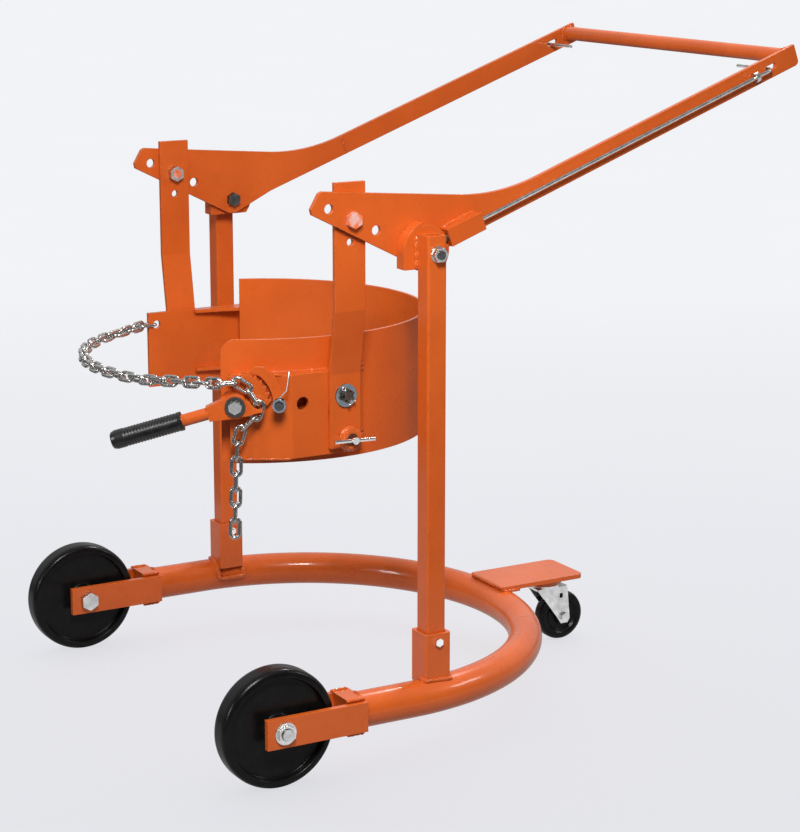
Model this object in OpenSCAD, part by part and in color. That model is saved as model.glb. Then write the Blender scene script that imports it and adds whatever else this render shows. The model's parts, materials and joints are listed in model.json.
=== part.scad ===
// Lever drum dolly: horseshoe base on three wheels, two uprights, a lifting lever
// and a tilting saddle that straps a steel drum with a chain and ratchet.
// Millimetres, +Z up. The open front and the drum face -Y, the handle faces +Y.

/* [Base] */
// Radius of the hoop's centre line, also half the wheel track
hoop_r = 404; // [380:1:430]
// Outside diameter of the hoop tube
tube_d = 60.3; // [50:0.1:64]
// Wall of the hoop tube
tube_wall = 3.6; // [2.6:0.1:5]
// Distance of the hoop's centre behind the drum's axis
hoop_y = 76; // [60:1:90]
// Distance of the front axle ahead of the drum's axis
axle_y = 178; // [170:1:190]
// Length of the foot plate over the caster
foot_l = 178; // [160:1:190]
// Width of the foot plate
foot_w = 112; // [100:1:120]

/* [Wheels] */
// Diameter of the front wheels
wheel_d = 200; // [190:1:204]
// Width of a front wheel's tread
wheel_w = 44; // [40:1:48]
// Diameter of the caster wheel
caster_d = 95; // [88:1:100]
// Trail of the caster axle behind its swivel
caster_trail = 31; // [25:1:34]

/* [Uprights] */
// Side of the square upright tube
upright_s = 35; // [32:1:36]
// Side of the square socket tube
socket_s = 48; // [47:1:52]
// Height of the uprights' top above the floor
upright_top = 866; // [860:1:880]

/* [Lever] */
// Height of the lever's pivot
pivot_z = 837; // [830:1:845]
// Distance of the lever's pivot behind the drum's axis
pivot_y = 120; // [115:1:125]
// Slope of the lever arms above level at rest
arm_angle = 20.4; // [18:0.1:23]
// Reach of the arms from the pivot
arm_l = 809; // [780:1:840]
// Width of an arm's flat bar
arm_w = 36; // [34:1:40]
// Diameter of the cross bar
bar_d = 26; // [24:1:30]

/* [Saddle] */
// Height of the trunnions above the floor
trunnion_z = 605; // [600:1:610]
// Height of the hanger bolts above the floor
hanger_z = 893; // [888:1:898]
// Inside radius of the saddle band
band_r = 287; // [284:0.5:288]
// Height of the saddle band
band_h = 204; // [190:1:210]
// Diameter of the chain's wire
chain_wire = 6; // [5:0.5:6.5]
// Inside length of one chain link
chain_pitch = 26; // [24:0.5:28]

/* [Hidden] */
$fn = 64;
eps = 0.01;
weld_gap = 0.2;
bore_gap = 0.1;
orange = "darkorange";
zinc = "silver";
black = "dimgray";
steel = "gray";

// heights and places that follow from the driving dimensions
wheel_r = wheel_d / 2;
tube_r = tube_d / 2;
caster_r = caster_d / 2;
top_of_tube = wheel_r + tube_r;
foot_z = top_of_tube + weld_gap;
foot_t = 8;
foot_y = hoop_y + hoop_r - 8;
swivel_y = foot_y + foot_l - 50;
socket_y = pivot_y;

// stack across the width, from the drum outwards, on the +X side
band_t = 5;
plate_in = 302;
plate_t = 8;
plate_out = plate_in + plate_t;
strap_t = 8;
strap_low = plate_out + 1;
joggle = 18;
strap_high = strap_low + joggle;
lever_in = strap_high + strap_t + 1;
lever_t = 8;
lever_out = lever_in + lever_t;
quad_in = lever_out + 0.5;
quad_t = 25;
upright_in = quad_in + quad_t;
upright_x = upright_in + upright_s / 2;
upright_out = upright_in + upright_s;
socket_out = upright_x + socket_s / 2;

// front forks
hub_w = 54;
fork_gap = 56;
fork_t = 10;
fork_h = 50;
fork_front = axle_y + 31;
fork_back = 28;
block_l = 36;
block_h = 58;
scoop_r = 122;
axle_d = 20;
bearing_d = 30;

// lever
boss_r = 26;
lever_end = 250;
hanger_y = 0;
hanger_reach = norm([pivot_y - hanger_y, hanger_z - pivot_z]);
hole_line = atan2(hanger_z - pivot_z, hanger_y - pivot_y);
hole_pitch = 47;
pivot_d = 14;
trunnion_d = 14;
hanger_d = 16;
strap_w = 55;
strap_top = 952;
strap_foot = 518;
joggle_top = 745;
joggle_foot = 640;
arm_corner = 8;
bar_s = arm_l - 19;
bar_n = 4;

// lock
rod_d = 6;
rod_x = lever_out + 11;
house_s = 49;
house_l = 68;
house_w = 22;
house_h = 30;
plunger_d = 12;
rim_r = 42;
plunger_s = rim_r + 0.5;
plunger_l = 38;
finger_s = 743;
finger_tip = 262;
slot_w = 10;
slot_l = 24;
eyelet_s = 704;

// saddle and ratchet
band_low = trunnion_z - 110;
band_front = 38;
band_far = 160;
plate_top = trunnion_z + 40;
plate_low = trunnion_z - 97;
bend_y = -92;
facet_turn = 29;
facet_l = 100;
pin_y = 8;
pin_z = -73;
pin_d = 20;
ratchet_pos = [-90, -5];
pawl_pos = [-20, -4];
lever_slope = 16;
sector_r = 58;
sector_x = 2;
sector_t = 6.5;
head_t = 18.5;
grip_x = 18;
grip_start = 88;
grip_l = 118;
grip_r = 15.5;
grip_nose_r = 10.5;
chain_x = 19.5;
hook_slot = 8.4;
hook_outline = [
    [0, -18], [22, -15], [30, -12], [36, -10.5], [43, -9.5],
    [44, -7], [43, -5], [36, -4], [30, -1], [22, 8], [0, 18]
];
far_front = -70;
far_back = 130;
far_hole_y = far_front + 16;
chain_r = 298;
chain_z = trunnion_z + 18;
link_step = chain_pitch - 0.3;
link_play = 4.35;

// the frame's origin is under the middle of the overall box
front_y = bend_y - grip_x * sin(facet_turn) + ratchet_pos[0] * cos(facet_turn)
    - (grip_start + grip_l) * cos(facet_turn) * cos(lever_slope)
    - grip_nose_r * norm([sin(facet_turn), cos(facet_turn) * sin(lever_slope)]);
rear_y = pivot_y + (arm_l - arm_corner) * cos(arm_angle)
    + (arm_w / 2 - arm_corner) * sin(arm_angle) + arm_corner;
mid_y = (front_y + rear_y) / 2;

// ---------- helpers ----------

// puts a shape built from the drum's axis into the part's own frame
module place() { translate([0, -mid_y, 0]) children(); }

// a shape of the +X side, mirrored to the left when side is -1
module on_side(side) { mirror([side < 0 ? 1 : 0, 0, 0]) children(); }

// the shape and its mirror image
module both() { children(); mirror([1, 0, 0]) children(); }

// extrudes an outline drawn in Y and Z from x over t along +X
module plate_yz(x, t) {
    translate([x, 0, 0]) rotate([90, 0, 90]) linear_extrude(t) children();
}

// cylinder along +X
module pin_x(x, y, z, d, l) {
    translate([x, y, z]) rotate([0, 90, 0]) cylinder(d = d, h = l);
}

// hexagon head or nut along +X, by its width across flats
module hex_x(x, y, z, af, l) {
    translate([x, y, z]) rotate([0, 90, 0]) cylinder(d = af / cos(30), h = l, $fn = 6);
}

// frame with Y along the arm from the lever's pivot
module arm_frame() {
    translate([0, pivot_y, pivot_z]) rotate([arm_angle, 0, 0]) children();
}

// a point at distance s along the arm and n above its centre line, as [y, z]
function arm_pt(s, n) = [
    pivot_y + s * cos(arm_angle) - n * sin(arm_angle),
    pivot_z + s * sin(arm_angle) + n * cos(arm_angle)
];

// frame on the ratchet plate's front facet: X outwards, Y rearwards
module facet_frame() {
    translate([plate_out, bend_y, trunnion_z]) rotate([0, 0, -facet_turn]) children();
}

// points of an arc about c from angle a to angle b
function arc(c, r, a, b, n) = [
    for (i = [0:n]) [c[0] + r * cos(a + (b - a) * i / n), c[1] + r * sin(a + (b - a) * i / n)]
];

// points of a curve from p to q, bent towards k
function bend(p, k, q, n) = [
    for (i = [0:n]) let (u = i / n) (1 - u) * (1 - u) * p + 2 * u * (1 - u) * k + u * u * q
];

// a rectangle with rounded corners, from its centre
module round_rect(w, h, r) {
    square([w - 2 * r, h], center = true);
    square([w, h - 2 * r], center = true);
    for (x = [-1, 1], y = [-1, 1]) translate([x * (w / 2 - r), y * (h / 2 - r)]) circle(r);
}

// square tube standing on z, with rounded corners
module square_tube(s, wall, h, r) {
    linear_extrude(h) difference() {
        round_rect(s, s, r);
        square(s - 2 * wall, center = true);
    }
}

// ---------- base ----------

module hoop_solid(r) {
    translate([0, hoop_y, wheel_r]) {
        rotate_extrude(angle = 180, $fn = 128) translate([hoop_r, 0]) circle(r);
        for (x = [-hoop_r, hoop_r]) {
            translate([x, 0, 0]) rotate([90, 0, 0]) cylinder(r = r, h = hoop_y + fork_back);
        }
    }
}

module base_hoop() {
    color(orange) difference() {
        hoop_solid(tube_r);
        hoop_solid(tube_r - tube_wall);
        translate([0, -fork_back + weld_gap / 2, wheel_r])
            cube([3 * hoop_r, weld_gap, tube_d * 2], center = true);
    }
}

module fork_blocks() {
    color(orange) both() difference() {
        translate([hoop_r - fork_gap / 2, -fork_back - block_l, wheel_r - block_h / 2])
            cube([fork_gap, block_l, block_h]);
        pin_x(hoop_r - fork_gap / 2 - 1, -axle_y, wheel_r, 2 * scoop_r, fork_gap + 2);
    }
}

module fork_plate(x) {
    difference() {
        translate([x, -fork_front, wheel_r - fork_h / 2]) cube([fork_t, fork_front - fork_back, fork_h]);
        pin_x(x - 1, -axle_y, wheel_r, axle_d + bore_gap, fork_t + 2);
    }
}

module fork_plates(side) {
    color(orange) on_side(side) {
        fork_plate(hoop_r - fork_gap / 2 - fork_t);
        fork_plate(hoop_r + fork_gap / 2);
    }
}

socket_foot = wheel_r + 20;
socket_top = 208;
socket_wall = 5;
socket_bolt_z = socket_top - 14;

module socket(side) {
    color(orange) on_side(side) difference() {
        translate([upright_x, socket_y, socket_foot])
            square_tube(socket_s, socket_wall, socket_top - socket_foot, 4);
        hoop_solid(tube_r + weld_gap);
        pin_x(socket_out - socket_s - 1, socket_y, socket_bolt_z, 8 + bore_gap, socket_s + 2);
    }
}

module upright(side) {
    color(orange) on_side(side) difference() {
        translate([upright_x, pivot_y, top_of_tube + 8])
            square_tube(upright_s, 3, upright_top - top_of_tube - 8, 4);
        pin_x(upright_in - 1, socket_y, socket_bolt_z, 8 + bore_gap, upright_s + 2);
        pin_x(upright_in - 1, pivot_y, pivot_z, pivot_d + bore_gap, upright_s + 2);
    }
}

module quadrant(side) {
    nose_r = 50;
    nose_y = 9;
    shoulder = -7;
    color(orange) on_side(side) plate_yz(quad_in, quad_t) translate([pivot_y, pivot_z]) difference() {
        union() {
            intersection() {
                translate([nose_y, 0]) circle(nose_r, $fn = 96);
                translate([-60, -28]) square([60 + shoulder, 90]);
            }
            translate([nose_y - nose_r + 0.5, -28]) square([nose_r - nose_y + shoulder, 30]);
            intersection() {
                circle(rim_r, $fn = 96);
                translate([shoulder - 1, -28]) square([60, 90]);
            }
        }
        circle(d = pivot_d + bore_gap);
        rotate(arm_angle) translate([rim_r - 6, -7]) square([20, 14]);
    }
}

module socket_bolts() {
    color(zinc) both() {
        hex_x(socket_out, socket_y, socket_bolt_z, 13, 5.5);
        pin_x(socket_out - socket_s - 10, socket_y, socket_bolt_z, 8, socket_s + 10 + eps);
        hex_x(socket_out - socket_s - 6.5, socket_y, socket_bolt_z, 13, 6.5);
    }
}

module pivot_bolts() {
    head = 10;
    color(steel) both() {
        hex_x(lever_in - 0.5 - head, pivot_y, pivot_z, 22, head);
        pin_x(lever_in - 0.5 - eps, pivot_y, pivot_z, pivot_d, upright_out + 15 - lever_in);
    }
}

module pivot_nuts() {
    color(zinc) both() difference() {
        union() {
            pin_x(upright_out, pivot_y, pivot_z, 26, 2);
            translate([upright_out + 2 - eps, pivot_y, pivot_z]) rotate([30, 0, 0]) hex_x(0, 0, 0, 22, 10);
        }
        pin_x(upright_out - 1, pivot_y, pivot_z, pivot_d + bore_gap, 30);
    }
}

module axle_bolts() {
    x = hoop_r - fork_gap / 2 - fork_t;
    color(steel) both() {
        hex_x(x - 12.5, -axle_y, wheel_r, 30, 12.5);
        pin_x(x - 1, -axle_y, wheel_r, axle_d, fork_gap + 2 * fork_t + 14);
    }
}

module axle_washers() {
    x = hoop_r + fork_gap / 2 + fork_t;
    color(zinc) both() difference() {
        union() {
            pin_x(x, -axle_y, wheel_r, 37, 3);
            hex_x(x + 3 - eps, -axle_y, wheel_r, 28, 6);
        }
        pin_x(x - 1, -axle_y, wheel_r, axle_d + bore_gap, 20);
    }
}

module foot_plate() {
    corner = 12;
    color(orange) translate([0, foot_y, foot_z]) linear_extrude(foot_t) {
        translate([-foot_w / 2, 0]) square([foot_w, foot_l - corner]);
        translate([-foot_w / 2 + corner, 0]) square([foot_w - 2 * corner, foot_l]);
        for (x = [-1, 1]) translate([x * (foot_w / 2 - corner), foot_l - corner]) circle(corner);
    }
}

// ---------- front wheels ----------

module wheel_profile() {
    hub_r = 27;
    web = 7;
    lip = 78;
    polygon(concat(
        [[bearing_d / 2, -hub_w / 2], [hub_r, -hub_w / 2], [hub_r + 3, -web - 4]],
        [[lip - 14, -web], [lip - 4, -wheel_w / 2 + 4], [lip, -wheel_w / 2 + 1]],
        [[lip + 5, -wheel_w / 2]],
        arc([wheel_r - 8, -wheel_w / 2 + 8], 8, -90, 0, 5),
        [[wheel_r, wheel_w / 2 - 8]],
        arc([wheel_r - 8, wheel_w / 2 - 8], 8, 0, 90, 5),
        [[lip + 5, wheel_w / 2], [lip, wheel_w / 2 - 1], [lip - 4, wheel_w / 2 - 4]],
        [[lip - 14, web], [hub_r + 3, web + 4], [hub_r, hub_w / 2], [bearing_d / 2, hub_w / 2]]
    ));
}

module front_wheel(side) {
    color(black) translate([side * hoop_r, -axle_y, wheel_r]) rotate([0, 90, 0])
        rotate_extrude($fn = 96) wheel_profile();
}

module wheel_bearing(side) {
    color(steel) translate([side * hoop_r, -axle_y, wheel_r]) rotate([0, 90, 0]) difference() {
        cylinder(d = bearing_d, h = hub_w, center = true);
        cylinder(d = axle_d + bore_gap, h = hub_w + 1, center = true);
    }
}

// ---------- caster ----------

caster_y = swivel_y + caster_trail;
crown_z = caster_d + 9;
race_z = crown_z + 9;
caster_hub = 34;
leg_t = 3.5;

module caster_plate() {
    color(orange) translate([0, swivel_y, 0]) difference() {
        union() {
            translate([0, 0, foot_z - 5]) linear_extrude(5) round_rect(76, 96, 6);
            translate([0, 0, race_z + 0.5]) cylinder(d1 = 58, d2 = 72, h = foot_z - 5 - race_z - 0.5 + eps);
        }
        cylinder(d = 12 + bore_gap, h = foot_z + 1);
    }
}

module caster_kingpin() {
    color(zinc) translate([0, swivel_y, 0]) {
        translate([0, 0, crown_z - 5]) cylinder(d = 20, h = 4.5);
        translate([0, 0, crown_z - 1]) cylinder(d = 12, h = foot_z - crown_z + 1);
    }
}

module fork_leg_outline() {
    axle = [caster_y, caster_r];
    polygon([
        [swivel_y - 26, crown_z], [axle[0] - 14, axle[1] - 2], [axle[0] - 7, axle[1] - 13],
        [axle[0] + 8, axle[1] - 13], [axle[0] + 13, axle[1] - 5], [swivel_y + 38, crown_z]
    ]);
}

module caster_fork() {
    inner = caster_hub / 2 + 0.5;
    color(zinc) difference() {
        union() {
            for (x = [-inner - leg_t, inner]) plate_yz(x, leg_t) fork_leg_outline();
            translate([0, swivel_y + 5, crown_z]) linear_extrude(4) round_rect(2 * (inner + leg_t), 66, 3);
            translate([0, swivel_y, crown_z + 4 - eps]) cylinder(d = 56, h = 5);
        }
        translate([0, swivel_y, crown_z - 1]) cylinder(d = 12 + bore_gap, h = 20);
        pin_x(-40, caster_y, caster_r, 10 + bore_gap, 80);
        for (x = [-1, 1])
            translate([x * (inner + 2), swivel_y + 24, crown_z - 14]) cube([8, 7, 9], center = true);
    }
}

module caster_axle() {
    x = caster_hub / 2 + 0.5 + leg_t;
    color(zinc) {
        pin_x(-x - 4, caster_y, caster_r, 10, 2 * x + 10);
        hex_x(x, caster_y, caster_r, 15, 6);
        hex_x(-x - 5, caster_y, caster_r, 15, 5);
    }
}

module caster_wheel() {
    w = 30;
    color(black) translate([0, caster_y, caster_r]) rotate([0, 90, 0])
        rotate_extrude($fn = 96) polygon(concat(
        [[9, -caster_hub / 2], [15, -caster_hub / 2], [17, -8], [30, -8], [33, -w / 2 + 2], [36, -w / 2]],
        arc([caster_r - 7, -w / 2 + 7], 7, -90, 0, 5),
        arc([caster_r - 7, w / 2 - 7], 7, 0, 90, 5),
        [[36, w / 2], [33, w / 2 - 2], [30, 8], [17, 8], [15, caster_hub / 2], [9, caster_hub / 2]]
    ));
}

module caster_bearing() {
    color(steel) translate([0, caster_y, caster_r]) rotate([0, 90, 0]) difference() {
        cylinder(d = 18, h = caster_hub, center = true);
        cylinder(d = 10 + bore_gap, h = caster_hub + 1, center = true);
    }
}

// ---------- lever ----------

module lever_outline() {
    top_end = [205, 919];
    arm_top = arm_pt(lever_end, arm_w / 2);
    knee = [278, 915];
    polygon(concat(
        [[-72, 905], [-74, 914], [-60, 938], [-54, 941], [60, 931]],
        bend(top_end, knee, arm_top, 10),
        [arm_pt(lever_end, -arm_w / 2), arm_pt(78, -arm_w / 2)],
        arc([pivot_y, pivot_z], boss_r, -62, -116, 8)
    ));
}

module lever_plate(side) {
    color(orange) on_side(side) plate_yz(lever_in, lever_t) difference() {
        lever_outline();
        translate([pivot_y, pivot_z]) circle(d = pivot_d + bore_gap);
        for (k = [-1:1]) translate([pivot_y, pivot_z])
            rotate(hole_line) translate([hanger_reach + k * hole_pitch, 0]) circle(d = hanger_d + bore_gap);
    }
}

module arm(side) {
    color(orange) on_side(side) arm_frame() plate_yz(lever_in, lever_t) difference() {
        union() {
            translate([lever_end, -arm_w / 2]) square([arm_l - lever_end - arm_corner, arm_w]);
            translate([lever_end, -arm_w / 2 + arm_corner]) square([arm_l - lever_end, arm_w - arm_corner]);
            translate([arm_l - arm_corner, -arm_w / 2 + arm_corner]) circle(arm_corner);
        }
        translate([finger_s, -slot_w / 2]) square([slot_l - slot_w, slot_w]);
        for (s = [0, slot_l - slot_w]) translate([finger_s + s, 0]) circle(d = slot_w);
    }
}

module cross_bar() {
    color(orange) arm_frame() difference() {
        pin_x(-lever_in + weld_gap, bar_s, bar_n, bar_d, 2 * (lever_in - weld_gap));
        pin_x(-lever_in, bar_s, bar_n, bar_d - 5, 2 * lever_in);
    }
}

module lock_housing(side) {
    color(orange) on_side(side) arm_frame() difference() {
        translate([lever_out, house_s, -house_h / 2]) cube([house_w, house_l, house_h]);
        translate([rod_x, house_s - 1, 0]) rotate([-90, 0, 0]) cylinder(d = plunger_d + bore_gap, h = 10);
        translate([rod_x, house_s + 6, 0]) rotate([-90, 0, 0]) cylinder(d = 18, h = house_l - 12);
        translate([rod_x, house_s + 40, 0]) rotate([-90, 0, 0]) cylinder(d = rod_d + bore_gap, h = 40);
    }
}

module lock_springs() {
    color(zinc) both() arm_frame() for (k = [0:3])
        translate([rod_x, house_s + house_l - 17 + k * 3, 0]) rotate([-90, 0, 0])
            rotate_extrude() translate([7.2, 0]) circle(1);
}

module rod_eyelets() {
    foot = 10;
    color(zinc) both() arm_frame() difference() {
        union() {
            translate([rod_x, eyelet_s, 0]) rotate([-90, 0, 0]) cylinder(d = 17, h = 8);
            translate([lever_out, eyelet_s, -foot / 2]) cube([rod_x - lever_out, 8, foot]);
        }
        translate([rod_x, eyelet_s - 1, 0]) rotate([-90, 0, 0]) cylinder(d = rod_d + bore_gap, h = 10);
    }
}

module hanger_bolts() {
    color(orange) both() {
        hex_x(lever_out, hanger_y, hanger_z, 24, 10);
        pin_x(strap_high - 13, hanger_y, hanger_z, hanger_d, lever_out - strap_high + 13 + eps);
    }
}

module hanger_nuts() {
    color(zinc) both() difference() {
        hex_x(strap_high - 12.5, hanger_y, hanger_z, 24, 12);
        pin_x(strap_high - 14, hanger_y, hanger_z, hanger_d + bore_gap, 16);
    }
}

module lock_rod(side) {
    elbow = 8;
    start = plunger_s + plunger_l;
    color(zinc) on_side(side) arm_frame() {
        translate([rod_x, start, 0]) rotate([-90, 0, 0]) cylinder(d = rod_d, h = finger_s - elbow - start);
        translate([rod_x - elbow, finger_s - elbow, 0])
            rotate_extrude(angle = 90) translate([elbow, 0]) circle(d = rod_d);
        pin_x(finger_tip, finger_s, 0, rod_d, rod_x - elbow - finger_tip);
    }
}

module lock_plunger(side) {
    color(steel) on_side(side) arm_frame() {
        translate([rod_x, plunger_s, 0]) rotate([-90, 0, 0]) cylinder(d = plunger_d, h = plunger_l);
        translate([rod_x, plunger_s + 29.5, 0]) rotate([-90, 0, 0]) cylinder(d = 17, h = 6);
    }
}

// ---------- straps ----------

module strap_body() {
    plan = [
        [strap_high, strap_top], [strap_high, joggle_top], [strap_low, joggle_foot], [strap_low, strap_foot],
        [strap_low + strap_t, strap_foot], [strap_low + strap_t, joggle_foot],
        [strap_high + strap_t, joggle_top], [strap_high + strap_t, strap_top]
    ];
    translate([0, strap_w / 2, 0]) rotate([90, 0, 0]) linear_extrude(strap_w) polygon(plan);
}

module strap(side) {
    color(orange) on_side(side) difference() {
        strap_body();
        pin_x(strap_high - 1, hanger_y, hanger_z, hanger_d + bore_gap, strap_t + 2);
        pin_x(strap_high - 1, hanger_y, hanger_z - 37, 12, strap_t + 2);
        pin_x(strap_low - 1, 0, trunnion_z, trunnion_d + bore_gap, strap_t + 2);
        if (side > 0) pin_x(strap_low - 1, pin_y, trunnion_z + pin_z, pin_d + bore_gap, strap_t + 2);
    }
}

module pin_guide() {
    x = strap_low + strap_t;
    color(orange) difference() {
        pin_x(x, pin_y, trunnion_z + pin_z, 32, 9);
        pin_x(x - 1, pin_y, trunnion_z + pin_z, pin_d + bore_gap, 12);
    }
}

module tilt_pin() {
    x = plate_out + 0.5;
    l = 30;
    body_l = 15;
    neck_d = 12;
    rod = 74;
    color(zinc) {
        pin_x(x, pin_y, trunnion_z + pin_z, pin_d, body_l);
        pin_x(x, pin_y, trunnion_z + pin_z, neck_d, l);
        translate([x + l - 5, pin_y, trunnion_z + pin_z])
            rotate([88, 0, 0]) cylinder(d = 6, h = rod, center = true);
    }
}

// ---------- saddle ----------

module corner_cut(turn, z, r, flip) {
    rotate([0, 0, turn]) translate([band_r - 20, 0, z]) mirror([0, 0, flip])
        rotate([90, 0, 90]) linear_extrude(40) difference() {
            translate([-2, -r]) square([r + 2, r + 2]);
            translate([r, -r]) circle(r);
        }
}

module saddle_band() {
    color(orange) difference() {
        rotate([0, 0, -band_front]) rotate_extrude(angle = band_front + band_far, $fn = 128)
            translate([band_r, band_low]) square([band_t, band_h]);
        corner_cut(-band_front, band_low + band_h, 25, 0);
        corner_cut(-band_front, band_low, 10, 1);
    }
}

module plate_plan() {
    c = cos(facet_turn);
    s = sin(facet_turn);
    polygon([
        [plate_in, 34], [plate_out, 34], [plate_out, bend_y],
        [plate_out - facet_l * s, bend_y - facet_l * c],
        [plate_out - facet_l * s - plate_t * c, bend_y - facet_l * c + plate_t * s],
        [plate_in, bend_y + plate_t * tan(facet_turn / 2)]
    ]);
}

module plate_holes() {
    turned = [pin_z, -pin_y];
    pin_x(plate_in - 1, pin_y, trunnion_z + pin_z, 22, plate_t + 2);
    pin_x(plate_in - 1, turned[0], trunnion_z + turned[1], 22, plate_t + 2);
}

module ratchet_plate() {
    color(orange) difference() {
        translate([0, 0, plate_low]) linear_extrude(plate_top - plate_low) plate_plan();
        plate_holes();
        facet_frame() translate([0, -facet_l, plate_low - trunnion_z])
            rotate([45, 0, 0]) cube([40, 26, 26], center = true);
    }
}

module far_plate() {
    color(orange) difference() {
        translate([-plate_out, far_front, plate_low])
            cube([plate_t, far_back - far_front, plate_top - plate_low]);
        pin_x(-plate_out - 1, far_hole_y, chain_z, 15, plate_t + 2);
    }
}

module web_plan() {
    c = cos(facet_turn);
    s = sin(facet_turn);
    difference() {
        polygon([
            [plate_in, 34], [plate_in, bend_y + plate_t * tan(facet_turn / 2)],
            [plate_out - facet_l * s - plate_t * c, bend_y - facet_l * c + plate_t * s],
            [200, -150], [250, 34]
        ]);
        circle(band_r + band_t + weld_gap, $fn = 128);
    }
}

module far_web_plan() {
    difference() {
        translate([-plate_in, 20]) square([50, far_back - 20]);
        circle(band_r + band_t + weld_gap, $fn = 128);
    }
}

module plate_webs() {
    t = 6;
    color(orange) for (z = [plate_low + 22, plate_top - t]) translate([0, 0, z]) linear_extrude(t) {
        web_plan();
        far_web_plan();
    }
}

module trunnion_studs() {
    color(steel) both() pin_x(plate_out, 0, trunnion_z, trunnion_d, 21);
}

module trunnion_washers() {
    color(zinc) both() difference() {
        pin_x(strap_low + strap_t + 0.5, 0, trunnion_z, 38, 3);
        pin_x(strap_low + strap_t, 0, trunnion_z, trunnion_d + bore_gap, 5);
    }
}

module trunnion_nuts() {
    x = strap_low + strap_t + 3.5;
    color(steel) both() difference() {
        hex_x(x, 0, trunnion_z, 21, 7);
        pin_x(x - 1, 0, trunnion_z, trunnion_d + bore_gap, 20);
        for (k = [0:2])
            translate([x + 6, 0, trunnion_z]) rotate([60 * k + 30, 0, 0]) cube([5, 4, 40], center = true);
    }
}

module cotter_pins() {
    x = strap_low + strap_t + 9;
    start = trunnion_d / 2 + 0.4;
    color(zinc) both() translate([x, 0, trunnion_z]) for (turn = [30, 210])
        rotate([turn, 0, 0]) translate([0, 0, start]) cylinder(d = 3, h = 15.5 - start);
}

// ---------- ratchet ----------

module ratchet_frame() {
    facet_frame() translate([0, ratchet_pos[0], ratchet_pos[1]]) rotate([lever_slope, 0, 0]) children();
}

// saw teeth round the sector, every 12 degrees, from angle a to angle b
function teeth(r, h, a, b) = [
    for (t = [a:12:b - 1], k = [0, 1])
        let (w = t + 9 * k, q = r - h * (1 - k)) [q * cos(w), q * sin(w)]
];

module ratchet_lever() {
    color(orange) ratchet_frame() difference() {
        union() {
            plate_yz(sector_x, sector_t) {
                polygon(concat([[0, 0]], teeth(sector_r, 7, -18, 66)));
                circle(26);
            }
            plate_yz(sector_x + sector_t - eps, head_t) {
                circle(20);
                polygon([[0, -19], [-46, -12], [-46, 12], [0, 19]]);
                rotate(-lever_slope) polygon(hook_outline);
            }
            translate([grip_x, -44, 0]) rotate([90, 0, 0]) cylinder(d = 20, h = 140);
        }
        pin_x(0, 0, 0, 14 + bore_gap, 40);
        rotate([-lever_slope, 0, 0]) translate([chain_x - hook_slot / 2, 21, -40]) cube([hook_slot, 40, 80]);
    }
}

module ratchet_grip() {
    ribs = 18;
    bore = [[0, grip_l - 22], [10, grip_l - 22]];
    color(black) ratchet_frame() translate([grip_x, -grip_start, 0]) rotate([90, 0, 0])
        rotate_extrude() polygon(concat(
        [[10, 0], [grip_r, 0]],
        [for (k = [0:ribs - 1], j = [0, 1]) [grip_r - j, 6 + (k + j * 0.5) * 5]],
        [[grip_r, 6 + ribs * 5], [grip_r, grip_l - 8], [grip_r - 2, grip_l - 2]],
        [[grip_nose_r, grip_l], [0, grip_l]],
        bore
    ));
}

module ratchet_bolt() {
    color(steel) facet_frame() translate([0, ratchet_pos[0], ratchet_pos[1]]) {
        head_x = sector_x + sector_t + head_t + 0.5;
        pin_x(0, 0, 0, 14, head_x + 1);
        pin_x(0, 0, 0, 24, sector_x - 0.5);
        pin_x(head_x, 0, 0, 33, 3);
        hex_x(head_x + 3 - eps, 0, 0, 19, 7);
    }
}

module pawl() {
    tip = sector_r + 0.5;
    rel = ratchet_pos - pawl_pos;
    color(orange) facet_frame() translate([0, pawl_pos[0], pawl_pos[1]]) difference() {
        plate_yz(sector_x, sector_t) polygon(concat(
            arc([0, 0], 11, -150, 20, 8),
            [[9, 12], [-6, 42], [-24, 60]],
            [for (p = [[9, 66], [0, 66], [0, 60]]) rel + (tip + p[0]) * [cos(p[1]), sin(p[1])]],
            arc(rel, tip + 1.5, 58, 10, 8)
        ));
        pin_x(0, 0, 0, 10 + bore_gap, 20);
    }
}

module pawl_bolt() {
    color(zinc) facet_frame() translate([0, pawl_pos[0], pawl_pos[1]]) {
        pin_x(0, 0, 0, 10, 26);
        pin_x(sector_x + sector_t + 0.5, 0, 0, 20, 2);
        pin_x(24, 0, 0, 22, 2.5);
        hex_x(26, 0, 0, 13, 5);
    }
}

module pawl_spring() {
    coil_r = 8;
    wire = 2.2;
    color(zinc) facet_frame() translate([0, pawl_pos[0], pawl_pos[1]]) {
        for (k = [0:3]) translate([15 + k * 2.4, 0, 0])
            rotate([0, 90, 0]) rotate_extrude() translate([coil_r, 0]) circle(d = wire);
        translate([20, 8, 0]) rotate([-18, 0, 0]) cylinder(d = wire, h = 52);
        translate([14.5, -8, 0]) rotate([12, 0, 0]) cylinder(d = wire, h = 22);
    }
}

// ---------- chain ----------

module link() {
    half = chain_pitch / 2 - 4.5;
    r = 4.5 + chain_wire / 2;
    for (s = [0, 180]) rotate([0, 0, s]) translate([half, 0, 0]) rotate([0, 0, -90])
        rotate_extrude(angle = 180, $fn = 32) translate([r, 0]) circle(d = chain_wire, $fn = 24);
    for (y = [-r, r]) translate([-half, y, 0])
        rotate([0, 90, 0]) cylinder(d = chain_wire, h = 2 * half, $fn = 24);
}

// a point given on the ratchet plate's front facet, in the drum's frame
function facet_pt(p) = [
    plate_out + p[0] * cos(facet_turn) + p[1] * sin(facet_turn),
    bend_y - p[0] * sin(facet_turn) + p[1] * cos(facet_turn),
    trunnion_z + p[2]
];

function heading(h) = [0, cos(h), sin(h)];

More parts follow.
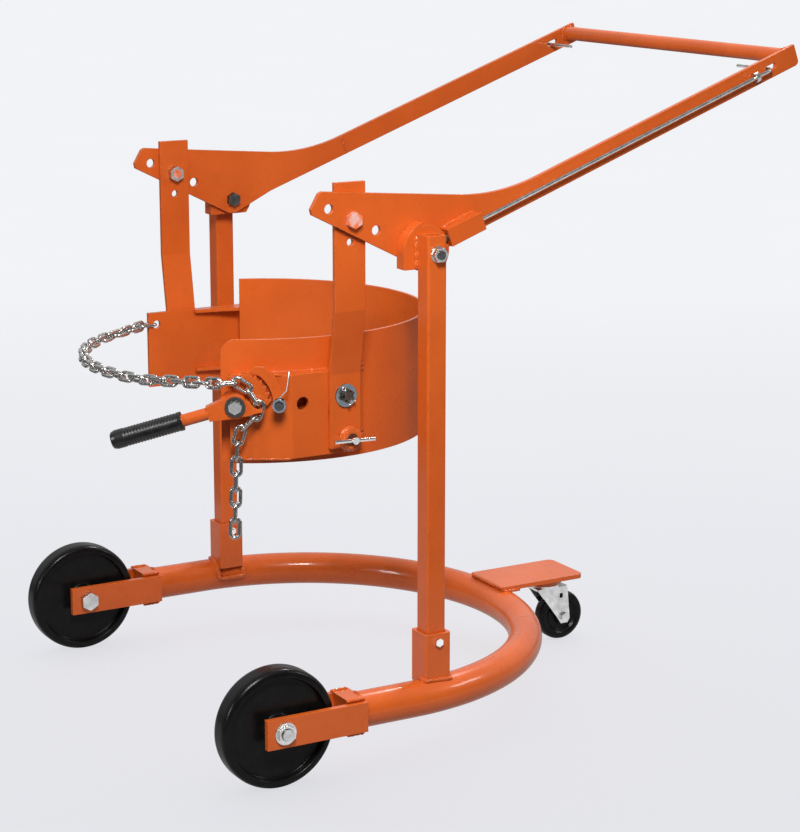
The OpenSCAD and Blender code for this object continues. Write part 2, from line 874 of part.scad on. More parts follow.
// ends of links laid on the facet from p towards each heading, each one turning in the link before or
// after it, whichever lies in the facet's plane
function lay(p, heads, i = 0) = i == len(heads) ? [] : let (
    turn = i == 0 ? [0, 0, 0] : link_play * (heading(heads[i]) - heading(heads[i - 1])),
    a = p + (i % 2 == 1 ? turn : -turn),
    b = a + link_step * heading(heads[i])
) concat([[a, b]], lay(b, heads, i + 1));

// the hooked link in the lever's slot, the tail that hangs below it and the lead above it
hook_top = [chain_x, -51, 0];
hook_turn = 74;
tail = lay(hook_top, [hook_turn + 180, 225, 252, 265, 268, 268, 268, 268, 268]);
lead = lay(hook_top - link_step * heading(hook_turn), [hook_turn, 124, 148, 184]);
facet_links = concat(
    [for (i = [1:len(tail) - 1]) [facet_pt(tail[i][0]), facet_pt(tail[i][1]), 90 * (1 - i % 2)]],
    [for (i = [0:len(lead) - 1]) [facet_pt(lead[i][0]), facet_pt(lead[i][1]), 90 * (1 - i % 2)]]
);

// from the lead straight to the drum, round it, and off it to the far plate's edge, which the last
// link goes round through a hole
lead_end = facet_links[len(facet_links) - 1][1];
anchor = [-plate_in - plate_t / 2, far_hole_y - link_step - 5, chain_z];
function on_drum(t) = [chain_r * cos(t), -chain_r * sin(t), chain_z];
function touch_turn(p, way) = atan2(-p[1], p[0]) + way * acos(chain_r / norm([p[0], p[1]]));
function unit(v) = v / norm(v);
function span(p, q) = let (n = ceil(norm(q - p) / link_step)) [for (i = [1:n]) p + (q - p) * i / n];

near_turn = touch_turn(lead_end, 1);
far_turn = touch_turn(anchor, -1);
near_dir = unit(on_drum(near_turn) - lead_end);
far_dir = unit(anchor - on_drum(far_turn));
wrap_start = lead_end + link_play * (near_dir + [sin(facet_turn), cos(facet_turn), 0]);
wrap_end = anchor + link_play * ([0, 1, 0] - far_dir);
wrap_links = ceil(chain_r * (far_turn - near_turn) * PI / 180 / link_step);
route = concat(
    [wrap_start],
    span(wrap_start, on_drum(near_turn)),
    [for (i = [1:wrap_links]) on_drum(near_turn + (far_turn - near_turn) * i / wrap_links)],
    span(on_drum(far_turn), wrap_end)
);

// one link lying between two points
module link_between(a, b, roll) {
    d = b - a;
    translate((a + b) / 2) rotate([0, -atan2(d[2], norm([d[0], d[1]])), atan2(d[1], d[0])])
        rotate([roll, 0, 0]) link();
}

module cinch_chain() {
    last = len(route) - 2;
    end_twist = 90 * (last % 2);
    color(zinc) {
        for (p = facet_links) link_between(p[0], p[1], p[2]);
        for (i = [0:last]) {
            twist = 45 * min(1, i / 6) + (end_twist - 45) * max(0, (i + 6 - last) / 6);
            link_between(route[i], route[i + 1], 90 * ((i + 1) % 2) + twist);
        }
        link_between(anchor, anchor + [0, link_step, 0], 0);
    }
}

// ---------- assembly ----------

place() {
    base_hoop();
    fork_blocks();
    fork_plates(-1);  // fork_plates_left
    fork_plates(1);  // fork_plates_right
    socket(-1);  // socket_left
    socket(1);  // socket_right
    upright(-1);  // upright_left
    upright(1);  // upright_right
    quadrant(-1);  // quadrant_left
    quadrant(1);  // quadrant_right
    socket_bolts();
    pivot_bolts();
    pivot_nuts();
    axle_bolts();
    axle_washers();
    foot_plate();
    caster_plate();
    caster_kingpin();
    front_wheel(-1);  // front_wheel_left
    front_wheel(1);  // front_wheel_right
    wheel_bearing(-1);  // wheel_bearing_left
    wheel_bearing(1);  // wheel_bearing_right
    caster_fork();
    caster_axle();
    caster_wheel();
    caster_bearing();
    lever_plate(-1);  // lever_plate_left
    lever_plate(1);  // lever_plate_right
    arm(-1);  // arm_left
    arm(1);  // arm_right
    cross_bar();
    lock_housing(-1);  // lock_housing_left
    lock_housing(1);  // lock_housing_right
    rod_eyelets();
    lock_springs();
    hanger_bolts();
    hanger_nuts();
    lock_rod(-1);  // lock_rod_left
    lock_rod(1);  // lock_rod_right
    lock_plunger(-1);  // lock_plunger_left
    lock_plunger(1);  // lock_plunger_right
    strap(-1);  // strap_left
    strap(1);  // strap_right
    pin_guide();
    tilt_pin();
    saddle_band();
    ratchet_plate();
    far_plate();
    plate_webs();
    trunnion_studs();
    trunnion_washers();
    trunnion_nuts();
    cotter_pins();
    ratchet_lever();
    ratchet_grip();
    ratchet_bolt();
    pawl();
    pawl_bolt();
    pawl_spring();
    cinch_chain();
}
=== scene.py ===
"""Looks of a lever drum dolly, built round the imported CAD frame. Metres, in the frame's own axes."""

import json
import math
import random

import bmesh
import bpy
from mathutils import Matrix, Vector

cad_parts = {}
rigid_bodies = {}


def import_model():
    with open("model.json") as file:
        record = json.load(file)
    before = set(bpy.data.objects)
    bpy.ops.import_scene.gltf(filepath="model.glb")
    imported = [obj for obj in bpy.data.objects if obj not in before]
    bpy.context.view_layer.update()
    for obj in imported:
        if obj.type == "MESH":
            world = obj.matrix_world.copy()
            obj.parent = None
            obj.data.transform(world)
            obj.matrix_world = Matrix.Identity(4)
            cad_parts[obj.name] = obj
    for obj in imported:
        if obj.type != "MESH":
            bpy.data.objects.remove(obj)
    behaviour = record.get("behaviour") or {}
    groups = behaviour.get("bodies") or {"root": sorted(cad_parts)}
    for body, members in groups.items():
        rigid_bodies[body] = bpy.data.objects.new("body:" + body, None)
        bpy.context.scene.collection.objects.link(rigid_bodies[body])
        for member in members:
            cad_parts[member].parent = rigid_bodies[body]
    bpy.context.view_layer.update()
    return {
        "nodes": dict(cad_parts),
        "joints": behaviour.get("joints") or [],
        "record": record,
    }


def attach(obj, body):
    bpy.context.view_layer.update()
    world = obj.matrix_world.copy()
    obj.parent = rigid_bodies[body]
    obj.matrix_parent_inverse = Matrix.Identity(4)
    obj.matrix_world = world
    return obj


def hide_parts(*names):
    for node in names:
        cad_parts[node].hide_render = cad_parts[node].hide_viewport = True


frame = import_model()
nodes = frame["nodes"]
joints = {j["name"]: j for j in frame["joints"]}
random.seed(7)

# The drum's axis is the CAD's working origin: points are given from it, in millimetres.
drum_y = joints["saddle_tilt"]["pos_m"][1]
trunnion_z = joints["saddle_tilt"]["pos_m"][2] * 1000
pivot_y = (joints["handle_lift"]["pos_m"][1] - drum_y) * 1000
pivot_z = joints["handle_lift"]["pos_m"][2] * 1000
arm_slope = math.atan2(joints["lock_right_pull"]["axis"][2], joints["lock_right_pull"]["axis"][1])
facet_axis = Vector(joints["ratchet_swing"]["axis"])
facet_turn = math.atan2(abs(facet_axis.y), abs(facet_axis.x))

# The CAD's faces and centres that the added pieces follow, in the same millimetres.
plate_out = 310
bend_y = -92
strap_out = 319
lever_in, lever_out = 338, 346
upright_in, upright_out = 371.5, 406.5
pin_y, pin_z = 8, trunnion_z - 73
axle_y, axle_z = -178, 100
hoop_y, hoop_r, hoop_z, tube_r = 76, 404, 100, 30.15

UP = Vector((0, 0, 1))
ACROSS = Vector((1, 0, 0))


def at(x, y, z):
    """A point in metres, from millimetres round the drum's axis."""
    return Vector((x / 1000, drum_y + y / 1000, z / 1000))


def on_arm(x, s, n):
    """A point at distance s along the lever's arm and n above its centre line, in millimetres."""
    c, k = math.cos(arm_slope), math.sin(arm_slope)
    return at(x, pivot_y + s * c - n * k, pivot_z + s * k + n * c)


def on_facet(out, back, up):
    """A point on the ratchet plate's front facet: outwards, rearwards and up, in millimetres."""
    c, k = math.cos(facet_turn), math.sin(facet_turn)
    return at(plate_out + out * c + back * k, bend_y - out * k + back * c, trunnion_z + up)


def round_turn(steps):
    """The angles of a full turn in equal steps, without its end."""
    return [2 * math.pi * k / steps for k in range(steps)]


# ---------- materials ----------

class Shader:
    """A material under construction: a principled shader and short calls that add nodes to it."""

    def __init__(self, name, **sockets):
        self.material = bpy.data.materials.new(name)
        self.material.use_nodes = True
        self.tree = self.material.node_tree
        self.surface = self.tree.nodes["Principled BSDF"]
        self.coords = self.tree.nodes.new("ShaderNodeTexCoord").outputs["Object"]
        for key, value in sockets.items():
            self.surface.inputs[key.replace("_", " ")].default_value = value

    def link(self, a, b):
        self.tree.links.new(a, b)

    def noise(self, scale, detail, rough=0.55):
        tex = self.tree.nodes.new("ShaderNodeTexNoise")
        tex.inputs["Scale"].default_value = scale
        tex.inputs["Detail"].default_value = detail
        tex.inputs["Roughness"].default_value = rough
        self.link(self.coords, tex.inputs["Vector"])
        return tex.outputs["Fac"]

    def ramp(self, value, *stops):
        node = self.tree.nodes.new("ShaderNodeValToRGB")
        elements = node.color_ramp.elements
        for i, (place, colour) in enumerate(stops):
            e = elements[i] if i < 2 else elements.new(place)
            e.position = place
            e.color = (*colour, 1)
        self.link(value, node.inputs["Fac"])
        return node.outputs["Color"]

    def math(self, kind, a, b):
        node = self.tree.nodes.new("ShaderNodeMath")
        node.operation = kind
        for i, v in enumerate((a, b)):
            if isinstance(v, (int, float)):
                node.inputs[i].default_value = v
            else:
                self.link(v, node.inputs[i])
        return node.outputs[0]

    def vector(self, kind, a, b=None):
        """A vector node on a socket and, for the kinds that take one, a fixed vector."""
        node = self.tree.nodes.new("ShaderNodeVectorMath")
        node.operation = kind
        self.link(a, node.inputs[0])
        if b is not None:
            node.inputs[1].default_value = b
        return node.outputs

    def mix(self, fac, a, b):
        """Colour a where fac is 0 and b where it is 1. b may be a plain colour."""
        node = self.tree.nodes.new("ShaderNodeMix")
        node.data_type = "RGBA"
        colours = [socket for socket in node.inputs if socket.type == "RGBA"]
        factor = next(socket for socket in node.inputs if socket.type == "VALUE" and socket.name == "Factor")
        self.link(fac, factor)
        self.link(a, colours[0])
        if isinstance(b, tuple):
            colours[1].default_value = (*b, 1)
        else:
            self.link(b, colours[1])
        return next(socket for socket in node.outputs if socket.type == "RGBA")

    def edges(self, radius):
        """1 on sharp edges and 0 on flat faces, with the rounded normal that goes with it."""
        bevel = self.tree.nodes.new("ShaderNodeBevel")
        bevel.samples = 6
        bevel.inputs["Radius"].default_value = radius
        geometry = self.tree.nodes.new("ShaderNodeNewGeometry")
        dot = self.tree.nodes.new("ShaderNodeVectorMath")
        dot.operation = "DOT_PRODUCT"
        self.link(bevel.outputs["Normal"], dot.inputs[0])
        self.link(geometry.outputs["Normal"], dot.inputs[1])
        return self.math("SUBTRACT", 1.0, dot.outputs["Value"]), bevel.outputs["Normal"]

    def bump(self, height, strength, distance, normal):
        node = self.tree.nodes.new("ShaderNodeBump")
        node.inputs["Strength"].default_value = strength
        node.inputs["Distance"].default_value = distance
        self.link(height, node.inputs["Height"])
        self.link(normal, node.inputs["Normal"])
        self.link(node.outputs["Normal"], self.surface.inputs["Normal"])

    def colour(self, value):
        self.link(value, self.surface.inputs["Base Color"])

    def roughness(self, value, low, high, start=0.3, end=0.7):
        """Roughness from low to high as the value goes from start to end."""
        spread = self.ramp(value, (start, (low,) * 3), (end, (high,) * 3))
        self.link(spread, self.surface.inputs["Roughness"])


def orange_enamel(name="orange_enamel", lumpy=0.0, pale_patched=False):
    """Sprayed enamel, chipped on its edges and paler there as a painted highlight; lumpy over weld, and with
    scattered pale grey-pink patches if wanted.
    """
    s = Shader(name, Coat_Weight=0.45, Coat_Roughness=0.09, Specular_IOR_Level=0.26)
    shade = s.ramp(s.noise(5.5, 4), (0.3, (0.60, 0.100, 0.013)), (0.72, (0.72, 0.130, 0.019)))
    grime = s.ramp(s.noise(31, 6, 0.7), (0.52, (0, 0, 0)), (0.78, (1, 1, 1)))
    dust_and_edge_highlight = s.mix(s.math("MULTIPLY", grime, 0.22), shade, (0.33, 0.066, 0.012))
    edge, soft = s.edges(0.0014)
    spots = s.ramp(s.noise(190, 4, 0.7), (0.60, (0, 0, 0)), (0.66, (1, 1, 1)))
    near_edge = s.ramp(edge, (0.02, (0, 0, 0)), (0.12, (1, 1, 1)))
    chips = s.math("MULTIPLY", s.math("MULTIPLY", spots, near_edge), 0.8)
    if pale_patched:
        # Pale grey-pink patches laid over the enamel by a noise mask.
        pale_patch_mask = s.ramp(s.noise(70, 4), (0.42, (0, 0, 0)), (0.62, (0.85,) * 3))
        dust_and_edge_highlight = s.mix(pale_patch_mask, dust_and_edge_highlight, (0.58, 0.40, 0.36))
    # Painted highlight: the edges are mixed 40% towards a paler orange, for the light they catch.
    dust_and_edge_highlight = s.mix(s.math("MULTIPLY", near_edge, 0.4), dust_and_edge_highlight, (0.86, 0.25, 0.07))
    s.colour(s.mix(chips, dust_and_edge_highlight, (0.11, 0.075, 0.06)))
    cloud = s.noise(14, 5, 0.65)
    peel = s.noise(420, 2)
    waves = s.math("MULTIPLY", s.noise(38, 3), 1.6)
    height = s.math("ADD", peel, waves)
    if lumpy:
        s.roughness(cloud, 0.1, 0.2)
        height = s.math("ADD", height, s.math("MULTIPLY", s.noise(380, 3), lumpy))
        s.bump(height, 0.75, 0.0006, soft)
    else:
        s.roughness(cloud, 0.22, 0.4, end=0.75)
        s.bump(height, 0.22, 0.0006, soft)
    return s.material


def plated(name, dark, light, rough, tint_scale=60):
    """Metal or its plating, mottled between two greys and two roughnesses."""
    s = Shader(name, Metallic=1.0)
    s.colour(s.ramp(s.noise(tint_scale, 5, 0.6), (0.3, dark), (0.7, light)))
    s.roughness(s.noise(tint_scale * 2.5, 4), *rough)
    _, soft = s.edges(0.0006)
    s.bump(s.noise(900, 3, 0.6), 0.16, 0.0003, soft)
    return s.material


def wheel_plastic():
    s = Shader("wheel_plastic", Specular_IOR_Level=0.22)
    s.colour(s.ramp(s.noise(45, 6, 0.7), (0.35, (0.0035, 0.0035, 0.004)), (0.8, (0.009, 0.009, 0.009))))
    s.roughness(s.noise(26, 5, 0.6), 0.2, 0.34, end=0.75)
    _, soft = s.edges(0.0016)
    s.bump(s.math("ADD", s.noise(520, 3), s.math("MULTIPLY", s.noise(60, 2), 0.6)), 0.2, 0.0004, soft)
    return s.material


def ringed_steel(name, joint, inner, ring, core, ring_rough):
    """Steel that turns from core to ring at a distance from a joint's axis: a bolt's head in its washer."""
    s = Shader(name, Metallic=1.0)
    from_joint = s.vector("SUBTRACT", s.coords, joints[joint]["pos_m"])["Vector"]
    from_axis = s.vector("CROSS_PRODUCT", from_joint, Vector(joints[joint]["axis"]).normalized())["Vector"]
    outside = s.math("GREATER_THAN", s.vector("LENGTH", from_axis)["Value"], inner)
    mottle = s.noise(240, 5, 0.65)
    dark = s.ramp(mottle, (0.3, tuple(v * 0.6 for v in ring)), (0.7, ring))
    pale = s.ramp(mottle, (0.3, tuple(v * 0.7 for v in core)), (0.7, core))
    s.colour(s.mix(outside, pale, dark))
    s.roughness(outside, 0.26, ring_rough, 0.0, 1.0)
    _, soft = s.edges(0.0006)
    s.bump(s.noise(700, 3), 0.18, 0.0003, soft)
    return s.material


def tilt_pin_steel():
    """Polished steel, with the part down inside the guide painted dark brown as the shade in the gap round
    it.
    """
    s = Shader("tilt_pin_steel")
    split = s.tree.nodes.new("ShaderNodeSeparateXYZ")
    s.link(s.coords, split.inputs[0])
    inside = s.math("LESS_THAN", split.outputs["X"], (strap_out + 7.2) / 1000)
    bare = s.math("SUBTRACT", 1.0, inside)
    mottle = s.noise(240, 5, 0.65)
    pale = s.ramp(mottle, (0.3, (0.62, 0.62, 0.61)), (0.7, (0.86, 0.86, 0.85)))
    # Painted shade: dark brown, not metallic, on the part of the pin inside the guide, for the shadowed gap
    # there.
    dark = s.ramp(mottle, (0.3, (0.06, 0.022, 0.010)), (0.7, (0.16, 0.045, 0.014)))
    s.colour(s.mix(inside, pale, dark))
    s.link(bare, s.surface.inputs["Metallic"])
    s.roughness(s.noise(600, 4), 0.16, 0.28)
    _, soft = s.edges(0.0006)
    s.bump(s.noise(900, 3), 0.16, 0.0003, soft)
    return s.material


def grip_rubber():
    s = Shader("grip_rubber", Coat_Weight=0.35, Coat_Roughness=0.2)
    s.colour(s.ramp(s.noise(90, 4), (0.35, (0.0045, 0.0045, 0.005)), (0.8, (0.016, 0.016, 0.016))))
    s.roughness(s.noise(50, 4), 0.26, 0.42, end=0.75)
    _, soft = s.edges(0.0005)
    s.bump(s.noise(700, 3), 0.14, 0.0003, soft)
    return s.material


ORANGE = orange_enamel()
WELD = orange_enamel("orange_weld", lumpy=4.5)
ZINC = plated("zinc_plate", (0.42, 0.42, 0.41), (0.68, 0.68, 0.66), (0.22, 0.4))
CHAIN = plated("chain_zinc", (0.40, 0.40, 0.39), (0.78, 0.77, 0.74), (0.14, 0.34), 140)
STEEL = plated("bare_steel", (0.07, 0.068, 0.066), (0.19, 0.185, 0.18), (0.3, 0.5))
BRIGHT = plated("bright_steel", (0.34, 0.34, 0.34), (0.58, 0.58, 0.57), (0.2, 0.36))
WHEEL = wheel_plastic()
GRIP = grip_rubber()

SLOT_MATERIALS = {
    "orange_enamel": ORANGE, "zinc_plate": ZINC, "bare_steel": STEEL,
    "black_wheel": WHEEL, "black_grip": GRIP,
}
RATCHET_BOLT = ringed_steel(
    "ratchet_bolt_steel", "ratchet_swing", 0.0108, (0.10, 0.10, 0.10), (0.55, 0.55, 0.54), 0.42)
PAWL_BOLT = ringed_steel(
    "pawl_bolt_steel", "pawl_lift", 0.0078, (0.34, 0.39, 0.44), (0.12, 0.12, 0.125), 0.24)
BLUED = plated("blued_zinc", (0.17, 0.21, 0.23), (0.36, 0.42, 0.45), (0.24, 0.4))
POLISHED = plated("polished_steel", (0.66, 0.66, 0.65), (0.86, 0.86, 0.85), (0.16, 0.28))
NUT = plated("oiled_nut", (0.055, 0.04, 0.032), (0.17, 0.13, 0.10), (0.32, 0.55), 180)
SPECIAL = {
    "cinch_chain": CHAIN, "ratchet_bolt": RATCHET_BOLT, "pawl_bolt": PAWL_BOLT, "axle_bolts": BRIGHT,
    "trunnion_nuts": NUT, "trunnion_studs": NUT, "tilt_pin": tilt_pin_steel(), "socket_bolts": POLISHED,
    "trunnion_washers": BLUED, "hanger_bolts": orange_enamel("pale_patched_enamel", pale_patched=True),
}


def dress_frame():
    """Gives every CAD node its material: a special one, or its slot's."""
    for entry in frame["record"]["subparts"]:
        node = nodes[entry["node"]]
        material = SPECIAL.get(entry["node"], SLOT_MATERIALS[entry["material_slot"]])
        node.data.materials.clear()
        node.data.materials.append(material)


# ---------- pieces ----------

def add_piece(name, mesh, body, material):
    mesh.materials.append(material)
    piece = bpy.data.objects.new(name, mesh)
    bpy.context.scene.collection.objects.link(piece)
    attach(piece, body)
    return piece


def skin(bm, rings, closed=False):
    """Faces between rings of vertices, with caps on an open row."""
    pairs = list(zip(rings, rings[1:]))
    if closed:
        pairs.append((rings[-1], rings[0]))
    for a, b in pairs:
        for i in range(len(a)):
            j = (i + 1) % len(a)
            bm.faces.new((a[i], a[j], b[j], b[i]))
    if not closed:
        bm.faces.new(list(reversed(rings[0])))
        bm.faces.new(rings[-1])


def tube_into(bm, path, radius, sides, squash=1.0, closed=False):
    """Sweeps a round or flattened section along a path. radius is a number or a function of the step."""
    n = len(path)
    tangents = []
    for i in range(n):
        before = path[(i - 1) % n] if closed or i > 0 else path[0]
        after = path[(i + 1) % n] if closed or i < n - 1 else path[n - 1]
        tangents.append((after - before).normalized())
    side = UP if abs(tangents[0].z) < 0.9 else ACROSS
    rings = []
    for i, (p, t) in enumerate(zip(path, tangents)):
        side = (side - t * side.dot(t)).normalized()
        other = t.cross(side)
        r = radius(i) if callable(radius) else radius
        rings.append([
            bm.verts.new(p + side * (r * squash * math.cos(a)) + other * (r * math.sin(a)))
            for a in round_turn(sides)
        ])
    skin(bm, rings, closed)


def mesh_of(name, build):
    bm = bmesh.new()
    build(bm)
    bmesh.ops.recalc_face_normals(bm, faces=bm.faces)
    for f in bm.faces:
        f.smooth = True
    mesh = bpy.data.meshes.new(name)
    bm.to_mesh(mesh)
    bm.free()
    return mesh


def resample(path, step):
    """Points evenly spaced along a path."""
    out = [path[0]]
    left = step
    for a, b in zip(path, path[1:]):
        length = (b - a).length
        done = 0.0
        while length - done >= left:
            done += left
            out.append(a.lerp(b, done / length))
            left = step
        left -= length - done
    if (out[-1] - path[-1]).length > step * 0.3:
        out.append(path[-1])
    return out


def weld_into(bm, path, size):
    """A hand-laid bead: overlapping ripples of uneven size along the path."""
    points = resample(path, size * 0.34)
    if len(points) < 3:
        return
    uneven = [1 + random.uniform(-0.13, 0.13) for _ in points]

    def radius(i):
        ripple = 0.86 + 0.16 * abs(math.sin(i * math.pi / 4))
        ends = min(1.0, 0.45 + 0.3 * min(i, len(points) - 1 - i))
        return size * ripple * uneven[i] * ends / 2

    wander = [p + Vector([random.uniform(-1, 1) * size * 0.035 for _ in range(3)]) for p in points]
    tube_into(bm, wander, radius, 8, 0.9)


def weld(name, body, paths, size):
    def build(bm):
        for path in paths:
            weld_into(bm, path, size)

    return add_piece(name, mesh_of(name, build), body, WELD)


def mirrored(paths):
    """The paths and their mirror images across the width."""
    return paths + [[Vector((-p.x, p.y, p.z)) for p in path] for path in paths]


def circle_yz(x, y, z, r, start, end, steps=40):
    turns = [math.radians(start + (end - start) * i / steps) for i in range(steps + 1)]
    return [at(x, y + r * math.cos(t), z + r * math.sin(t)) for t in turns]


def hoop_top(x, y, lift):
    """The point at a height over the hoop's skin above x and y."""
    out = abs(math.hypot(x, y - hoop_y) - hoop_r) if y > hoop_y else abs(abs(x) - hoop_r)
    return at(x, y, hoop_z + math.sqrt(max(0.0, tube_r**2 - out**2)) + lift)


def base_welds():
    """Beads round the sockets' feet, the fork blocks, the foot plate and the quadrants' edges."""
    foot = [(365, 96), (365, 144), (413, 144), (413, 96), (365, 96)]
    outline = []
    for (x0, y0), (x1, y1) in zip(foot, foot[1:]):
        outline += [(x0 + (x1 - x0) * k / 8, y0 + (y1 - y0) * k / 8) for k in range(8)]
    outline.append(foot[-1])
    weld("socket_welds", "base", mirrored([[hoop_top(x, y, 1.0) for x, y in outline]]), 0.010)

    block = [at(hoop_r + 30.4 * math.cos(t), -27.6, hoop_z + 29.2 * math.sin(t))
             for t in round_turn(48) + [2 * math.pi]]
    plates = []
    for x in (hoop_r - 28.4, hoop_r + 28.4):
        for z in (hoop_z + 29.2, hoop_z - 29.2):
            plates.append([at(x, -30, z), at(x, -62, z)])
    weld("fork_welds", "base", mirrored([block] + plates), 0.0065)

    deck = [[hoop_top(x, 472, 6.5) + Vector((0, -0.001, 0)) for x in range(-54, 55, 6)]]
    under = [[at(x, 474, 131), at(x, 508, 129)] for x in (-56, 56)]
    weld("foot_welds", "base", deck + under, 0.007)

    x = upright_in - 0.3
    quad = [[at(x, pivot_y - 17.8, 808), at(x, pivot_y - 17.8, 865)],
            [at(x, pivot_y + 17.8, 809), at(x, pivot_y + 17.8, 862)]]
    weld("quadrant_welds", "base", mirrored(quad), 0.011)


def lever_welds():
    """Beads round the lock housings, the arms' roots, the cross bar's ends and the rod eyelets."""
    x = lever_out + 0.3
    housing = [[on_arm(x, 50, n), on_arm(x, 116, n)] for n in (-15.2, 15.2)]
    housing.append([on_arm(x, 117.4, -14), on_arm(x, 117.4, 14)])
    weld("housing_welds", "lever", mirrored(housing), 0.0085)
    joint = [[on_arm(x, 250, -17), on_arm(x, 250, 17)] for x in (lever_in, lever_out)]
    weld("arm_welds", "lever", mirrored(joint), 0.004)
    bar_s, bar_n, bar_r = 790, 4, 13.6
    bar = [on_arm(lever_in - 0.8, bar_s + bar_r * math.cos(t), bar_n + bar_r * math.sin(t))
           for t in round_turn(30) + [2 * math.pi]]
    weld("bar_welds", "lever", mirrored([bar]), 0.005)
    feet = [[on_arm(lever_out + 0.4, s, -5), on_arm(lever_out + 0.4, s, 5)] for s in (703.8, 712.2)]
    weld("eyelet_welds", "lever", mirrored(feet), 0.0035)


def saddle_welds():
    """Beads along the plate webs on the band, and along the ratchet plate's upper and lower edges."""
    band_out = 292.6
    arc = [math.radians(-30 + 40 * k / 30) for k in range(31)]
    paths = [[at(band_out * math.cos(t), band_out * math.sin(t), trunnion_z + up) for t in arc]
             for up in (40.5, 33.4, -69, -75.6)]
    weld("web_welds", "saddle", paths, 0.0055)
    top = [[on_facet(-1.5, front, 40.6), on_facet(-1.5, rear, 40.6)]
           for front, rear in ((-52, -14), (-96, -78))]
    weld("lug_welds", "saddle", top, 0.0065)
    lower = [on_facet(-1.5, -80, -97.4), on_facet(-1.5, -2, -97.4)]
    weld("lower_weld", "saddle", [lower], 0.005)


def guide_weld():
    """The rough rings of weld that hold the tilt pin's guide to the strap, and the drops round them."""
    rings = [
        circle_yz(strap_out + out, pin_y, pin_z, r, start, end)
        for out, r, start, end in ((0.8, 17.8, 0, 360), (4.0, 16.4, 20, 330), (7.6, 14.6, 150, 420))
    ]
    weld("guide_weld", "hangers", rings, 0.0078)
    drops = []
    for i in range(13):
        turn, r = 2.4 * i, 19 + 5 * math.sin(3.7 * i)
        y, z = pin_y + r * math.cos(turn), pin_z + r * math.sin(turn)
        drops.append([
            at(strap_out + 0.2, y, z),
            at(strap_out + 0.4 + math.sin(i), y + 3 * math.cos(5 * i), z + 3 * math.sin(5 * i)),
        ])
    weld("guide_spatter", "hangers", drops, 0.0042)


def helix(start, axis, radius, pitch, turns, steps=20):
    """A screw line round a level axis, starting at its top."""
    other = axis.cross(UP)
    path = []
    for k in range(int(turns * steps) + 1):
        turn = 2 * math.pi * k / steps
        out = UP * math.cos(turn) + other * math.sin(turn)
        path.append(start + axis * (pitch * k / steps) + out * radius)
    return path


def threads():
    """Screw threads on the bolt ends that stand out of their nuts."""
    def ridge(bm, x, y, z, radius, pitch, turns):
        for side in (1, -1):
            path = helix(at(side * x, y, z), ACROSS * side, radius, pitch, turns)
            tube_into(bm, path, pitch * 0.36, 6)

    def base_ends(bm):
        ridge(bm, upright_out + 12.6, pivot_y, pivot_z, 0.0068, 0.002, 1.0)
        ridge(bm, 451.3, axle_y, axle_z, 0.0098, 0.0025, 1.0)

    def stud_ends(bm):
        ridge(bm, strap_out + 10.4, 0, trunnion_z, 0.0068, 0.002, 0.7)

    add_piece("pivot_threads", mesh_of("pivot_threads", base_ends), "base", STEEL)
    add_piece("stud_threads", mesh_of("stud_threads", stud_ends), "saddle", STEEL)


def cotters():
    """Split pins through the castle nuts: a loop on one side and two spread legs on the other."""
    turn = math.radians(30)
    way = Vector((0, -math.sin(turn), math.cos(turn)))
    across = Vector((0, math.cos(turn), math.sin(turn)))
    wire, loop_r = 0.0011, 0.0032
    # Half of the split wire: how far along the pin and how far to the side, in metres.
    leg = ((0.0122, 0.0010), (0.0, 0.0011), (-0.0118, 0.0012), (-0.0140, 0.0026), (-0.0148, 0.0060),
           (-0.0140, 0.0085))

    def build(bm):
        for side in (1, -1):
            mid = at((strap_out + 8.5) * side, 0, trunnion_z)
            loop = [mid + way * (0.0148 + loop_r * math.cos(a)) + across * (loop_r * math.sin(a))
                    for a in round_turn(18)]
            tube_into(bm, loop, wire, 8, closed=True)
            for half in (1, -1):
                path = [mid + way * along + across * (aside * half) for along, aside in leg]
                tube_into(bm, resample(path, 0.0012), wire, 8, 0.8)

    piece = add_piece("split_pins", mesh_of("split_pins", build), "saddle", ZINC)
    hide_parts("cotter_pins")


def pawl_coil():
    """The coiled spring on the pawl's bolt, with one long leg up to the plate's edge."""
    origin = on_facet(0, 0, 0)
    out = (on_facet(1, 0, 0) - origin).normalized()
    back = (on_facet(0, 1, 0) - origin).normalized()
    coil = helix(on_facet(13.2, -20, -4), out, 0.0083, 0.0026, 4.25, 24)
    foot = coil[0] - UP * 0.001 - back * 0.003
    long_leg = [coil[-1] + UP * 0.006 + back * 0.002,
                on_facet(21, -8.5, 20), on_facet(18, -5, 40), on_facet(13, -4.4, 50)]
    path = [foot - UP * 0.017 + back * 0.001, foot, *coil, *long_leg]

    def build(bm):
        tube_into(bm, resample(path, 0.0012), 0.0011, 8)

    piece = add_piece("pawl_coil", mesh_of("pawl_coil", build), "saddle", ZINC)
    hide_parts("pawl_spring")


def lathe(bm, profile, centre, steps):
    """Turns a profile of (radius, offset across the width) round a level axis across the width."""
    other = ACROSS.cross(UP)
    rows = []
    for r, x in profile:
        rows.append([
            bm.verts.new(centre + ACROSS * x + (UP * math.cos(a) + other * math.sin(a)) * r)
            for a in round_turn(steps)
        ])
    skin(bm, rows, closed=True)


def rounded(profile, r, n=4):
    """The closed profile with its corners rounded."""
    out = []
    size = len(profile)
    for i, p in enumerate(profile):
        p = Vector(p)
        a, b = Vector(profile[i - 1]) - p, Vector(profile[(i + 1) % size]) - p
        cut = min(r, a.length * 0.45, b.length * 0.45)
        start, end = p + a.normalized() * cut, p + b.normalized() * cut
        for k in range(n + 1):
            u = k / n
            out.append(tuple(start.lerp(p, u).lerp(p.lerp(end, u), u)))
    return out


def moulded(name, half, corner, centre, steps, body):
    """A black wheel turned from one half of its profile, from the bore out to the tread."""
    profile = rounded(half + [(r, -x) for r, x in reversed(half)], corner)

    def build(bm):
        lathe(bm, profile, centre, steps)

    return add_piece(name, mesh_of(name, build), body, WHEEL)


